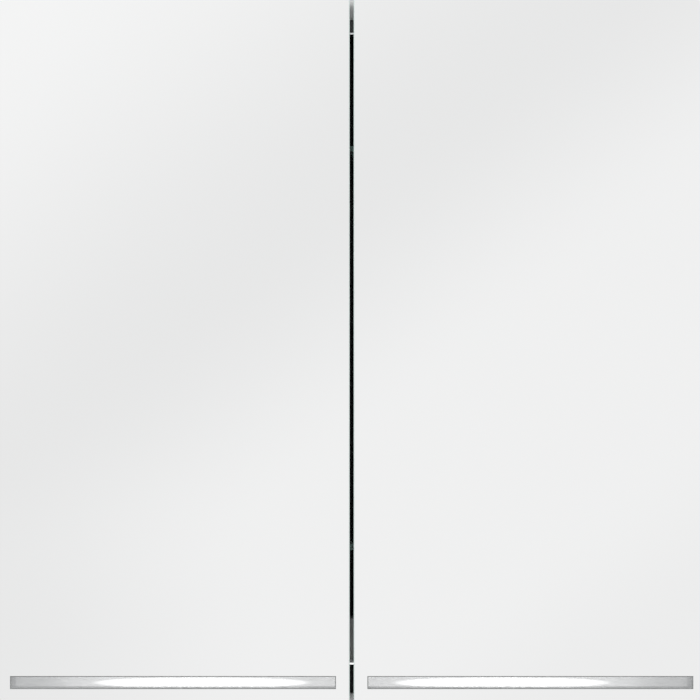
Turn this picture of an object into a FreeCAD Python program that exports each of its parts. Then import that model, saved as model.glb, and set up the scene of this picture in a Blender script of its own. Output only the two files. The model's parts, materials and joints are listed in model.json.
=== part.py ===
"""Wall-hung medicine cabinet with two mirrored doors and a lit strip low in each door.

Row frame: +X right, +Y towards the wall, +Z up, millimetres. The origin is on the wall plane, midway between
the two slotted screw holes of the hanging rail. The doors face -Y.

Two letters place everything that belongs to a door: "u" runs inward from the cabinet's side plane and "v"
runs forward from the plane of the carcass's front edges, so one description serves both doors.
"""
import FreeCAD, Part
import os
import re

import Sketcher

PLANES = {"XY": "XY_Plane", "XZ": "XZ_Plane", "YZ": "YZ_Plane"}
LEFT, RIGHT = -1, 1
SIDES = ((LEFT, "left"), (RIGHT, "right"))

# name, value in millimetres or degrees, what it is
SIZES = (
    ("width", 700, "overall width, door edge to door edge"),
    ("height", 700, "overall height, which is the doors' height"),
    ("depth", 150, "wall plane to the front of the mirrors"),
    ("hang_drop", 50, "top of the cabinet above the rail's screw line"),
    # carcass
    ("side_t", 16, "side panel thickness"),
    ("top_t", 19, "top panel thickness"),
    ("bottom_t", 10, "bottom panel thickness"),
    ("door_overhang", 3.5, "doors below the bottom panel"),
    ("grip_bevel", 4, "bevel under the bottom panel's front edge, for fingertips"),
    ("back_t", 4, "back panel thickness"),
    ("back_recess", 18, "hollow between back panel and wall"),
    ("groove_d", 6, "depth of the back panel's groove in the sides and top"),
    ("bottom_groove_d", 4, "depth of the same groove in the bottom panel"),
    ("fit_gap", 0.5, "play of a panel in its groove or between the sides"),
    # doors
    ("door_gap", 4, "gap between the two doors"),
    ("seat_gap", 3, "gap between the doors and the carcass"),
    ("mirror_t", 4, "front mirror glass"),
    ("core_t", 15, "door core board"),
    ("inner_mirror_t", 3, "mirror set in the back of the core"),
    ("arris", 0.8, "ground bevel round the front mirror"),
    ("mirror_lip", 1.5, "mirror beyond the edge trim"),
    ("trim_t", 1.5, "edge trim thickness"),
    ("hinge_band", 46, "door edge to inner mirror on the hinge side"),
    ("inner_border", 8, "door edge to inner mirror on the other sides"),
    ("inner_foot", 50, "door bottom to inner mirror"),
    # lit window
    ("window_side", 13.5, "window to the door's left and right edges"),
    ("window_foot", 20, "window to the door's bottom edge"),
    ("window_tall", 12.8, "window height"),
    ("window_seam", 0.8, "seam between the glass and the light guide"),
    ("guide_setback", 0.4, "light guide behind the mirror's face"),
    # hinges
    ("hinge_inset", 80, "hinge centre to the door's top and bottom"),
    ("pivot_u", 7, "hinge pin from the side plane"),
    ("pivot_v", 12, "hinge pin in front of the carcass"),
    ("pin_r", 2, "hinge pin radius"),
    ("pin_play", 0.05, "radial clearance of the pin in the arm's eye"),
    ("eye_r", 3.2, "outer radius of the arm's eye"),
    ("neck_tall", 10, "arm neck height"),
    ("arm_tall", 16, "arm body height"),
    ("cup_r", 17.5, "hinge cup radius"),
    ("cup_u", 22.5, "cup centre from the side plane"),
    ("cup_deep", 13.6, "cup depth"),
    ("cup_wall", 0.8, "cup bottom thickness"),
    ("cup_skin", 1.3, "cup wall thickness"),
    ("nose_tall", 22, "cup nose height"),
    ("slot_play", 0.4, "clearance beside the arm's neck"),
    ("flange_t", 1.4, "cup flange thickness"),
    ("flange_tall", 60, "cup flange height"),
    ("plate_t", 3, "mounting plate thickness"),
    ("plate_tall", 48, "mounting plate height"),
    ("rib_t", 3, "rib on the mounting plate"),
    ("arm_t", 6, "arm body thickness"),
    ("arm_long", 48, "arm body length"),
    ("screw_r", 1.5, "hinge screw shank radius"),
    ("head_r", 3.3, "hinge screw head radius"),
    # shelves
    ("shelf_t", 6, "glass shelf thickness"),
    ("shelf_set", 10, "shelf's front edge behind the carcass front"),
    ("upper_shelf_drop", 146, "cabinet top to the upper shelf's middle"),
    ("lower_shelf_rise", 158, "cabinet bottom to the lower shelf's middle"),
    ("peg_r", 2.5, "shelf peg radius"),
    ("peg_deep", 8, "shelf peg in the side panel"),
    ("peg_front", 32, "front row of peg holes behind the carcass front"),
    ("peg_row", 56, "front row to rear row"),
    ("peg_pitch", 32, "hole pitch in a row"),
    # light
    ("housing_tall", 34, "light housing height"),
    ("housing_deep", 60, "light housing depth"),
    ("housing_set", 3, "light housing behind the carcass front"),
    ("sheet_t", 1.5, "sheet metal of the light housing"),
    ("cover_t", 2, "opal cover thickness"),
    ("tube_r", 8, "lamp tube radius"),
    ("tube_long", 212, "lamp tube length over its end caps"),
    ("tube_centre", 149, "cabinet centre to a lamp tube's middle"),
    ("cap_long", 7, "lamp end cap length"),
    ("tube_back", 14, "tube axis behind the carcass front"),
    # switch
    ("case_wide", 110, "switch case width"),
    ("case_tall", 40, "switch case height"),
    ("case_deep", 50, "switch case depth"),
    ("case_set", 8, "switch case behind the carcass front"),
    ("case_wall", 2, "switch case wall"),
    ("switch_x", 30, "switch centre from the cabinet's centre"),
    ("bezel_wide", 20, "switch bezel width"),
    ("bezel_tall", 26, "switch bezel height"),
    ("rocker_wide", 12, "rocker width"),
    ("rocker_tall", 18, "rocker height"),
    ("rocker_tilt", 7, "rocker tilt either side of its middle"),
    # hanging parts
    ("rail_end", 14, "hanging rail's ends to the side panels"),
    ("rail_screws", 480, "spacing of the rail's two slots"),
    ("rail_slot", 20, "slot length, end to end"),
    ("rail_slot_r", 3.5, "half the slot's width"),
    ("spacer_r", 10, "wall spacer radius"),
    ("inlet_r", 5, "bore of the cable grommet"),
    ("inlet_rise", 70, "grommet above the door's bottom edge"),
)

DOC = FreeCAD.newDocument("medicine_cabinet")
SHEET = DOC.addObject("Spreadsheet::Sheet", "Sizes")
NODES = []


def fill_sheet():
    """One row per driving size: its name, its value and what it is."""
    for row, (name, value, note) in enumerate(SIZES, start=1):
        SHEET.set(f"A{row}", name)
        SHEET.set(f"B{row}", str(value))
        SHEET.set(f"C{row}", note)
        SHEET.setAlias(f"B{row}", name)
    DOC.recompute()


fill_sheet()
ALIAS = re.compile(r"\b(" + "|".join(sorted((name for name, _, _ in SIZES), key=len, reverse=True)) + r")\b")

# Places that many pieces share, as expressions of the sheet's names.
TOP = "hang_drop"
BOTTOM = "(hang_drop - height)"
CARCASS = "(depth - seat_gap - core_t - mirror_t)"
INNER = "(width/2 - side_t)"
DOOR_WIDE = "(width/2 - door_gap/2)"
FLOOR = f"({BOTTOM} + door_overhang + bottom_t)"
CEILING = f"({TOP} - top_t)"
BACK_FACE = "(back_recess + back_t)"
WINDOW_Z = f"({BOTTOM} + window_foot)"
HOUSING_TOP = f"({FLOOR} + housing_tall)"
TUBE_Z = f"({WINDOW_Z} + window_tall/2)"
SWITCH_Z = f"({HOUSING_TOP} + case_tall/2)"
ARM_BASE = "(side_t + plate_t + rib_t)"
CASE_FRONT = f"({CARCASS} - case_set)"
CORE_FRONT = "(seat_gap + core_t)"
SHELF_LOW = {
    "upper": f"({TOP} - upper_shelf_drop - shelf_t/2)",
    "lower": f"({BOTTOM} + lower_shelf_rise - shelf_t/2)",
}
HINGE_HEIGHTS = {"upper": f"({TOP} - hinge_inset)", "lower": f"({BOTTOM} + hinge_inset)"}
CUP_X = "(width/2 - cup_u)"
CUP_SCREW_Z = "(flange_tall/2 - 6)"
PLATE_SCREW_Y = f"(-{CARCASS} + 28)"
PLATE_SCREW_Z = "(plate_tall/2 - 6)"
HANGER_X = f"({INNER} - 22)"
HANGER_SCREW_HEIGHTS = ("-14", "6")


def val(expression):
    """An expression's value now, as a plain number."""
    return float(SHEET.evalExpression(str(expression)))


def bind(obj, prop, expression):
    """Ties a property to the sheet."""
    obj.setExpression(prop, ALIAS.sub(r"Sizes.\1", str(expression)))


def place(obj, x="0", y="0", z="0"):
    for axis, expression in zip("xyz", (x, y, z)):
        bind(obj, f"Placement.Base.{axis}", expression)


def node(obj, label):
    """Marks an object as a finished sub-part, whose label names its file."""
    obj.Label = label
    NODES.append(obj)
    return obj


def box(x, y, z, long_x, long_y, long_z):
    """A box from its lowest corner and its three lengths, all expressions."""
    made = DOC.addObject("Part::Box", "Box")
    for prop, expression in (("Length", long_x), ("Width", long_y), ("Height", long_z)):
        bind(made, prop, expression)
    place(made, x, y, z)
    return made


def rod(x, y, z, radius, length, along):
    """A cylinder that starts at a point and runs along +X, -Y or +Z."""
    made = DOC.addObject("Part::Cylinder", "Cylinder")
    bind(made, "Radius", radius)
    bind(made, "Height", length)
    turns = {
        "+X": FreeCAD.Rotation(FreeCAD.Vector(0, 1, 0), 90),
        "-Y": FreeCAD.Rotation(FreeCAD.Vector(1, 0, 0), 90),
        "+Z": FreeCAD.Rotation(),
    }
    made.Placement = FreeCAD.Placement(FreeCAD.Vector(), turns[along])
    place(made, x, y, z)
    return made


def fuse(*shapes):
    made = DOC.addObject("Part::MultiFuse", "Fusion")
    made.Shapes = list(shapes)
    return made


def cut(base, *tools):
    made = DOC.addObject("Part::Cut", "Cut")
    made.Base = base
    made.Tool = tools[0] if len(tools) == 1 else fuse(*tools)
    return made


def group(*shapes):
    """Separate solids that share one node."""
    made = DOC.addObject("Part::Compound", "Group")
    made.Links = list(shapes)
    return made


def door_x(side, u, long_u="0"):
    """Lowest X of a box that spans u to u + long_u on the left or right door."""
    return f"(-width/2 + ({u}))" if side == LEFT else f"(width/2 - ({u}) - ({long_u}))"


def door_box(side, u, v, z, long_u, long_v, long_z):
    """A box placed by a door's own u and v."""
    return box(door_x(side, u, long_u), f"-{CARCASS} - ({v}) - ({long_v})", z, long_u, long_v, long_z)


def plan_point(side, u, v):
    """A sketch point in the XY plane at a door's u and v."""
    return (f"{side}*(width/2 - ({u}))", f"-{CARCASS} - ({v})")


def new_body():
    return DOC.addObject("PartDesign::Body", "Body")


def new_sketch(body, plane):
    """An empty sketch on one of the body's own origin planes."""
    support = [item for item in body.Origin.OriginFeatures if item.Role == PLANES[plane]][0]
    sketch = body.newObject("Sketcher::SketchObject", "Sketch")
    sketch.AttachmentSupport = (support, [""])
    sketch.MapMode = "FlatFace"
    return sketch


def pin_point(sketch, geometry, point, tag, x, y):
    """Ties a sketch point's two coordinates to the sheet."""
    for kind, expression in (("DistanceX", x), ("DistanceY", y)):
        name = f"{tag}{kind[-1]}"
        index = sketch.addConstraint(Sketcher.Constraint(kind, -1, 1, geometry, point, val(expression)))
        sketch.renameConstraint(index, name)
        bind(sketch, f"Constraints.{name}", expression)


def add_outline(sketch, points):
    """A closed outline of straight lines through points given as pairs of expressions."""
    first = sketch.GeometryCount
    corners = [FreeCAD.Vector(val(x), val(y), 0) for x, y in points]
    count = len(points)
    for k in range(count):
        sketch.addGeometry(Part.LineSegment(corners[k], corners[(k + 1) % count]), False)
    for k in range(count):
        sketch.addConstraint(Sketcher.Constraint("Coincident", first + k, 2, first + (k + 1) % count, 1))
    for k, (x, y) in enumerate(points):
        pin_point(sketch, first + k, 1, f"p{first + k}", x, y)


def add_circle(sketch, x, y, radius):
    """A circle whose centre and radius are expressions."""
    centre = FreeCAD.Vector(val(x), val(y), 0)
    index = sketch.addGeometry(Part.Circle(centre, FreeCAD.Vector(0, 0, 1), val(radius)), False)
    pin_point(sketch, index, 3, f"c{index}", x, y)
    named = sketch.addConstraint(Sketcher.Constraint("Radius", index, val(radius)))
    sketch.renameConstraint(named, f"r{index}")
    bind(sketch, f"Constraints.r{index}", radius)


def rectangle(x0, y0, x1, y1):
    return [(x0, y0), (x1, y0), (x1, y1), (x0, y1)]


def pad(body, sketch, length, midplane=True, reverse=False):
    made = body.newObject("PartDesign::Pad", "Pad")
    made.Profile = sketch
    made.Midplane = midplane
    made.Reversed = reverse
    bind(made, "Length", length)
    DOC.recompute()
    return made


def pocket(body, sketch, length, midplane=True, reverse=False):
    """A pocket that has to take something away."""
    before = body.Shape.Volume
    made = body.newObject("PartDesign::Pocket", "Pocket")
    made.Profile = sketch
    made.Midplane = midplane
    made.Reversed = reverse
    bind(made, "Length", length)
    DOC.recompute()
    if not body.Shape.Volume < before - 1e-6:
        raise RuntimeError(f"a pocket in {body.Label} cuts nothing")
    return made


def side_panel(side, name):
    """An upright with a groove for the back panel, two rows of peg holes and the hinges' pilot holes."""
    body = new_body()
    outline = new_sketch(body, "YZ")
    add_outline(outline, rectangle(f"-{CARCASS}", f"{BOTTOM} + door_overhang", "0", TOP))
    pad(body, outline, "side_t", midplane=False, reverse=side == RIGHT)
    place(body, x=f"{side}*width/2")
    inner_face = f"{-side}*side_t"

    def inside_pocket(sketch, depth):
        """Cuts from the panel's inner face, so the sketch's plane is moved there."""
        bind(sketch, "AttachmentOffset.Base.z", inner_face)
        return pocket(body, sketch, depth, midplane=False, reverse=side == RIGHT)

    groove = new_sketch(body, "YZ")
    groove_low = f"{FLOOR} - bottom_groove_d"
    add_outline(groove, rectangle(f"-{BACK_FACE}", groove_low, "-back_recess", f"{CEILING} + groove_d"))
    inside_pocket(groove, "groove_d")
    for middle, step in (("upper", "-1"), ("lower", "1")):
        holes = new_sketch(body, "YZ")
        for row in ("0", "peg_row"):
            for k in range(-1, 4):
                height = f"{SHELF_LOW[middle]} - peg_r + ({k})*({step})*peg_pitch"
                add_circle(holes, f"-{CARCASS} + peg_front + {row}", height, "peg_r")
        inside_pocket(holes, "peg_deep + fit_gap")
    pilots = new_sketch(body, "YZ")
    for z in HINGE_HEIGHTS.values():
        for way in (-1, 1):
            add_circle(pilots, PLATE_SCREW_Y, f"{z} + ({way})*{PLATE_SCREW_Z}", "screw_r")
    inside_pocket(pilots, "12")
    return node(body, f"{name}_side_panel")


def top_panel():
    """Cross panel between the sides, grooved underneath for the back panel."""
    board = box(f"-{INNER}", f"-{CARCASS}", CEILING, f"2*{INNER}", CARCASS, "top_t")
    groove = box(f"-{INNER}", f"-{BACK_FACE}", CEILING, f"2*{INNER}", "back_t", "groove_d")
    return node(cut(board, groove), "top_panel")


def bottom_panel():
    """Cross panel with a bevel under its front edge, so that fingertips reach behind the doors."""
    body = new_body()
    low, high = f"({BOTTOM} + door_overhang)", FLOOR
    outline = new_sketch(body, "YZ")
    add_outline(
        outline,
        [
            (f"-{CARCASS} + grip_bevel", low),
            ("0", low),
            ("0", high),
            ("-back_recess", high),
            ("-back_recess", f"{high} - bottom_groove_d"),
            (f"-{BACK_FACE}", f"{high} - bottom_groove_d"),
            (f"-{BACK_FACE}", high),
            (f"-{CARCASS}", high),
            (f"-{CARCASS}", f"{low} + grip_bevel"),
        ],
    )
    pad(body, outline, f"2*{INNER}")
    return node(body, "bottom_panel")


def back_panel():
    """Board in the grooves, with an opening for the cable grommet and two for the hanger screws."""
    wide = f"(2*({INNER} + groove_d - fit_gap))"
    low = f"({FLOOR} - bottom_groove_d + fit_gap)"
    board = box(f"-{wide}/2", f"-{BACK_FACE}", low, wide, "back_t", f"{CEILING} + groove_d - fit_gap - {low}")
    inlet = rod("0", "0", f"{BOTTOM} + inlet_rise", "inlet_r + 3", BACK_FACE, "-Y")
    openings = []
    for side, _ in SIDES:
        for z in HANGER_SCREW_HEIGHTS:
            openings.append(rod(f"{side}*{HANGER_X}", "0", z, "4.5", BACK_FACE, "-Y"))
    return node(cut(board, inlet, *openings), "back_panel")


def screws_and_caps():
    """Connecting screws through the sides into the top and bottom panels, each under a flat cap."""
    screws, caps, bores = [], [], {LEFT: [], RIGHT: []}
    for side, _ in SIDES:
        for z in (f"{TOP} - top_t/2", f"{FLOOR} - bottom_t/2"):
            for y in (f"-{CARCASS} + 24", "-36"):
                start = "-width/2" if side == LEFT else "width/2"
                bore_x = f"{start} + {0 if side == LEFT else -1}*(side_t + 30)"
                head_x = f"{start} + 1.2" if side == LEFT else f"{start} - 5.2"
                shank_x = f"{start} + 5.2" if side == LEFT else f"{start} - side_t - 28"
                cap_x = start if side == LEFT else f"{start} - 1.2"
                shank = rod(shank_x, y, z, "2", "side_t + 22.8", "+X")
                screws.append(fuse(shank, rod(head_x, y, z, "3.5", "4", "+X")))
                caps.append(rod(cap_x, y, z, "4.5", "1.2", "+X"))
                bores[side] += [
                    rod(bore_x, y, z, "2", "side_t + 30", "+X"),
                    rod(head_x, y, z, "3.5", "4", "+X"),
                    rod(cap_x, y, z, "4.5", "1.2", "+X"),
                ]
    node(group(*screws), "carcass_screws")
    node(group(*caps), "screw_caps")
    return bores


def bored(panel, bores):
    """The same sub-part with the connecting screws' bores taken out."""
    label = panel.Label
    NODES.remove(panel)
    panel.Label = f"{label}_blank"
    return node(cut(panel, *bores), label)


def carcass():
    panels = {side: side_panel(side, name) for side, name in SIDES}
    cross = [top_panel(), bottom_panel()]
    back_panel()
    bores = screws_and_caps()
    for side, _ in SIDES:
        bored(panels[side], bores[side])
    for panel in cross:
        bored(panel, bores[LEFT] + bores[RIGHT])


def hanging_parts():
    """Wall rail, the two cabinet hangers that hook over it, wall spacers and the cable grommet."""
    body = new_body()
    outline = new_sketch(body, "YZ")
    rail = [(0, -9), (0, 9), (-6, 15), (-6, 24), (-8, 24), (-8, 14.2), (-2, 8.2), (-2, -9)]
    add_outline(outline, [(str(y), str(z)) for y, z in rail])
    pad(body, outline, f"2*({INNER} - rail_end)")
    slots = []
    for side, _ in SIDES:
        straight = "(rail_slot - 2*rail_slot_r)"
        low_x = f"{side}*rail_screws/2 - {straight}/2"
        slots.append(box(low_x, "-5", "-rail_slot_r", straight, "8", "2*rail_slot_r"))
        slots.append(rod(low_x, "3", "0", "rail_slot_r", "8", "-Y"))
        slots.append(rod(f"{low_x} + {straight}", "3", "0", "rail_slot_r", "8", "-Y"))
    body.Label = "wall_rail_strip"
    node(cut(body, *slots), "wall_rail")
    screws = []
    for side, name in SIDES:
        wide = "42"
        x = f"{side}*{INNER}" if side == LEFT else f"{INNER} - {wide}"
        case = box(x, "-back_recess", "-24", wide, "back_recess - 11", "48")
        seats = [rod(f"{side}*{HANGER_X}", "-10", z, "3.5", "9", "-Y") for z in HANGER_SCREW_HEIGHTS]
        node(cut(case, *seats), f"{name}_hanger")
        hook = new_body()
        bent = new_sketch(hook, "YZ")
        steel = [(-11, -14), (-8.5, -14), (-8.5, 24), (-5.5, 24), (-5.5, 17), (-3, 17), (-3, 27), (-11, 27)]
        add_outline(bent, [(str(y), str(z)) for y, z in steel])
        pad(hook, bent, "24")
        place(hook, x=f"{side}*{HANGER_X}")
        node(hook, f"{name}_hanger_hook")
        for z in HANGER_SCREW_HEIGHTS:
            shank = rod(f"{side}*{HANGER_X}", "-11.2", z, "3.4", "back_recess - 11.2", "-Y")
            slit = box(f"{side}*{HANGER_X} - 0.5", "-back_recess", f"{z} - 3.5", "1", "1.2", "7")
            screws.append(cut(shank, slit))
    node(group(*screws), "hanger_screws")
    spacers = []
    for side, _ in SIDES:
        x = f"{side}*({INNER} - 30)"
        spacers.append(rod(x, "0", f"{BOTTOM} + 60", "spacer_r", "back_recess", "-Y"))
    node(group(*spacers), "wall_spacers")
    grommet = new_body()
    ring = new_sketch(grommet, "YZ")
    wall = "(inlet_r + 3)"
    section = [
        ("-back_recess + 2", "inlet_r"),
        ("-back_recess + 2", f"{wall} + 3"),
        ("-back_recess", f"{wall} + 3"),
        ("-back_recess", wall),
        (f"-{BACK_FACE}", wall),
        (f"-{BACK_FACE}", f"{wall} + 3"),
        (f"-{BACK_FACE} - 2", f"{wall} + 3"),
        (f"-{BACK_FACE} - 2", "inlet_r"),
    ]
    add_outline(ring, section)
    turned = grommet.newObject("PartDesign::Revolution", "Revolution")
    turned.Profile = ring
    turned.ReferenceAxis = (ring, ["H_Axis"])
    turned.Angle = 360
    place(grommet, z=f"{BOTTOM} + inlet_rise")
    node(grommet, "cable_grommet")


def shelves():
    """Two glass shelves, each on four pegs with a flat shelf rest."""
    wide = f"(2*({INNER} - fit_gap))"
    front = f"-{CARCASS} + shelf_set"
    for name, low in SHELF_LOW.items():
        shelf = box(f"-{wide}/2", front, low, wide, f"-{BACK_FACE} - 2*fit_gap - ({front})", "shelf_t")
        node(shelf, f"{name}_shelf")
        pegs = []
        for side, _ in SIDES:
            for row in ("0", "peg_row"):
                y = f"-{CARCASS} + peg_front + {row}"
                x = f"-{INNER} - peg_deep" if side == LEFT else f"{INNER} - 9"
                pegs.append(rod(x, y, f"{low} - peg_r", "peg_r", "peg_deep + 9", "+X"))
        node(group(*pegs), f"{name}_shelf_pegs")


def light():
    """Lamp box along the floor of the cabinet: two tubes in front of a reflector, behind an opal cover."""
    front = f"-{CARCASS} + housing_set"
    back = f"{front} + housing_deep"
    body = new_body()
    outline = new_sketch(body, "YZ")
    channel = [
        (front, FLOOR),
        (back, FLOOR),
        (back, HOUSING_TOP),
        (front, HOUSING_TOP),
        (front, f"{HOUSING_TOP} - sheet_t"),
        (f"{back} - sheet_t", f"{HOUSING_TOP} - sheet_t"),
        (f"{back} - sheet_t", f"{FLOOR} + sheet_t"),
        (front, f"{FLOOR} + sheet_t"),
    ]
    add_outline(outline, channel)
    pad(body, outline, f"2*({INNER} - fit_gap)")
    node(body, "light_housing")
    wide = f"(2*({INNER} - 1))"
    cover = box(f"-{wide}/2", f"{front} - cover_t", f"{FLOOR} + 1", wide, "cover_t", "housing_tall - 2")
    node(cover, "light_cover")
    bowl = new_body()
    bend = new_sketch(bowl, "YZ")
    low, high = f"({FLOOR} + sheet_t)", f"({HOUSING_TOP} - sheet_t)"
    near, far = f"({front} + 1)", f"({front} + 23)"
    reflector = [
        (near, low),
        (far, low),
        (far, f"{high} - 8"),
        (near, high),
        (near, f"{high} - 0.8"),
        (f"{far} - 0.8", f"{high} - 8.8"),
        (f"{far} - 0.8", f"{low} + 0.8"),
        (near, f"{low} + 0.8"),
    ]
    add_outline(bend, reflector)
    pad(bowl, bend, wide)
    node(bowl, "light_reflector")
    tube_y = f"-{CARCASS} + tube_back"
    caps, holders = [], []
    for side, name in SIDES:
        start = f"({side}*tube_centre - tube_long/2)"
        glass = rod(f"{start} + cap_long", tube_y, TUBE_Z, "tube_r", "tube_long - 2*cap_long", "+X")
        node(glass, f"{name}_lamp_tube")
        caps += [
            rod(start, tube_y, TUBE_Z, "tube_r + 0.2", "cap_long", "+X"),
            rod(f"{start} + tube_long - cap_long", tube_y, TUBE_Z, "tube_r + 0.2", "cap_long", "+X"),
        ]
        foot = f"{low} + 0.8"
        for x in (f"{start} - 8", f"{start} + tube_long"):
            holders.append(box(x, f"{tube_y} - 7", foot, "8", "14", f"{TUBE_Z} + 9 - ({foot})"))
    node(group(*caps), "lamp_end_caps")
    node(group(*holders), "lamp_holders")
    ballast = box("-80", f"{far} + 2", f"{FLOOR} + sheet_t", "160", "28", "22")
    node(ballast, "ballast")


def switch():
    """Case on top of the lamp box with a rocker switch in its face."""
    front = f"-{CASE_FRONT}"
    shell = box("-case_wide/2", front, HOUSING_TOP, "case_wide", "case_deep", "case_tall")
    hollow = box(
        "-case_wide/2 + case_wall",
        f"{front} + case_wall",
        HOUSING_TOP,
        "case_wide - 2*case_wall",
        "case_deep - 2*case_wall",
        "case_tall - case_wall",
    )
    hole = box(
        "switch_x - bezel_wide/2 + 2",
        f"{front} - 1",
        f"{SWITCH_Z} - bezel_tall/2 + 2",
        "bezel_wide - 4",
        "case_wall + 2",
        "bezel_tall - 4",
    )
    node(cut(shell, hollow, hole), "switch_case")
    plate = box(
        "switch_x - bezel_wide/2",
        f"{front} - 1.5",
        f"{SWITCH_Z} - bezel_tall/2",
        "bezel_wide",
        "1.5",
        "bezel_tall",
    )
    barrel = box(
        "switch_x - bezel_wide/2 + 2",
        front,
        f"{SWITCH_Z} - bezel_tall/2 + 2",
        "bezel_wide - 4",
        "14",
        "bezel_tall - 4",
    )
    well = box(
        "switch_x - rocker_wide/2 - 0.4",
        f"{front} - 2",
        f"{SWITCH_Z} - rocker_tall/2 - 1.2",
        "rocker_wide + 0.8",
        "13",
        "rocker_tall + 2.4",
    )
    bearing_x = "switch_x - rocker_wide/2 - 1.4"
    bearing = rod(bearing_x, f"{front} + 4", SWITCH_Z, "1.55", "rocker_wide + 2.8", "+X")
    node(cut(fuse(plate, barrel), well, bearing), "switch_bezel")
    body = new_body()
    outline = new_sketch(body, "YZ")
    half = "(rocker_tall/2)"
    face = [("-7.2", f"-{half}"), ("-6.2", "0"), ("-7.2", half)]
    rear = [("-1", f"{half} - 0.6"), ("3", "0"), ("-1", f"-{half} + 0.6")]
    add_outline(outline, face + rear)
    pad(body, outline, "rocker_wide")
    axle = new_sketch(body, "YZ")
    add_circle(axle, "0", "0", "1.5")
    pad(body, axle, "rocker_wide + 2.4")
    turn = FreeCAD.Rotation(FreeCAD.Vector(1, 0, 0), val("rocker_tilt"))
    body.Placement = FreeCAD.Placement(FreeCAD.Vector(), turn)
    bind(body, "Placement.Rotation.Angle", "rocker_tilt * 1 deg")
    place(body, "switch_x", f"{front} + 4", SWITCH_Z)
    node(body, "switch_rocker")
    block = box("-40", f"{front} + 18", HOUSING_TOP, "36", "18", "16")
    ways = []
    for x in ("-34", "-22", "-10"):
        ways.append(rod(x, f"{front} + 37", f"{HOUSING_TOP} + 6", "2.5", "20", "-Y"))
    node(cut(block, *ways), "terminal_block")


def hinge_plate(side, name, height):
    """Mounting plate on the side panel's inner face, with the rib that the arm clips onto."""
    plate = door_box(side, "side_t", "-50", f"{height} - plate_tall/2", "plate_t", "40", "plate_tall")
    rib = door_box(side, "side_t + plate_t", "-48", f"{height} - 7", "rib_t", "36", "14")
    holes = []
    for way in (-1, 1):
        z = f"{height} + ({way})*{PLATE_SCREW_Z}"
        x = door_x(side, "side_t", "plate_t + 1")
        holes.append(rod(x, PLATE_SCREW_Y, z, "screw_r", "plate_t + 1", "+X"))
    return node(cut(fuse(plate, rib), *holes), f"{name}_hinge_plate")


def hinge_arm(side, name, height):
    """Arm on the plate's rib, whose neck bends round the side panel to an eye for the pin."""
    body = new_body()
    beam = new_sketch(body, "XY")
    corners = (
        (ARM_BASE, "-4 - arm_long"),
        (f"{ARM_BASE} + arm_t - 2", "-4 - arm_long"),
        (f"{ARM_BASE} + arm_t", "2 - arm_long"),
        (f"{ARM_BASE} + arm_t", "-4"),
        (ARM_BASE, "-4"),
    )
    add_outline(beam, [plan_point(side, u, v) for u, v in corners])
    pad(body, beam, "arm_tall")
    neck = new_sketch(body, "XY")
    bend = (
        (ARM_BASE, "-6"),
        (f"{ARM_BASE} - 0.2", "2.5"),
        ("side_t + 2.5", "5.8"),
        ("pivot_u", "pivot_v - eye_r"),
        ("pivot_u", "pivot_v + eye_r"),
        ("side_t + 2", "12.5"),
        (f"{ARM_BASE} + 3.5", "7"),
        (f"{ARM_BASE} + arm_t", "-6"),
    )
    add_outline(neck, [plan_point(side, u, v) for u, v in bend])
    pad(body, neck, "neck_tall")
    eye = new_sketch(body, "XY")
    add_circle(eye, *plan_point(side, "pivot_u", "pivot_v"), "eye_r")
    pad(body, eye, "neck_tall")
    hole = new_sketch(body, "XY")
    add_circle(hole, *plan_point(side, "pivot_u", "pivot_v"), "pin_r + pin_play")
    pocket(body, hole, "neck_tall + 2")
    place(body, z=height)
    return node(body, f"{name}_hinge_arm")


def hinge_cup(side, name, height):
    """Cup let into the door's back, with a slotted nose that holds the pin and a flange for its screws."""
    slot_tall = "(neck_tall + 2*slot_play)"
    cup_x = f"{side}*{CUP_X}"
    mouth = f"-{CARCASS} - seat_gap"
    nose_low = f"{height} - nose_tall/2"
    cup = rod(cup_x, mouth, height, "cup_r", "cup_deep", "-Y")
    nose = door_box(side, "mirror_lip", "seat_gap", nose_low, "12.5", "cup_deep", "nose_tall")
    flange = door_box(
        side,
        "10",
        "seat_gap - flange_t",
        f"{height} - flange_tall/2",
        "2*(cup_u - 10) - 1",
        "flange_t",
        "flange_tall",
    )
    inner_deep = "cup_deep - cup_wall + flange_t + 1"
    hollow = rod(cup_x, f"{mouth} + flange_t + 1", height, "cup_r - cup_skin", inner_deep, "-Y")
    slot = door_box(
        side,
        "-1",
        "seat_gap - 3",
        f"{height} - {slot_tall}/2",
        f"{ARM_BASE} + 7",
        "cup_deep - cup_wall + 3",
        slot_tall,
    )
    pin_x = f"{side}*(width/2 - pivot_u)"
    pin_y = f"-{CARCASS} - pivot_v"
    pin_hole = rod(pin_x, pin_y, f"{height} - nose_tall", "pin_r", "2*nose_tall", "+Z")
    screw_holes = []
    for way in (-1, 1):
        z = f"{height} + ({way})*{CUP_SCREW_Z}"
        screw_holes.append(rod(cup_x, mouth + " + flange_t", z, "screw_r", "flange_t", "-Y"))
    nose_wall = cut(fuse(cup, flange), hollow)
    ears = cut(fuse(nose_wall, nose), slot, pin_hole, *screw_holes)
    return node(ears, f"{name}_hinge_cup")


def hinge_pin(side, height):
    return rod(
        f"{side}*(width/2 - pivot_u)",
        f"-{CARCASS} - pivot_v",
        f"{height} - nose_tall/2",
        "pin_r",
        "nose_tall",
        "+Z",
    )


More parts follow.
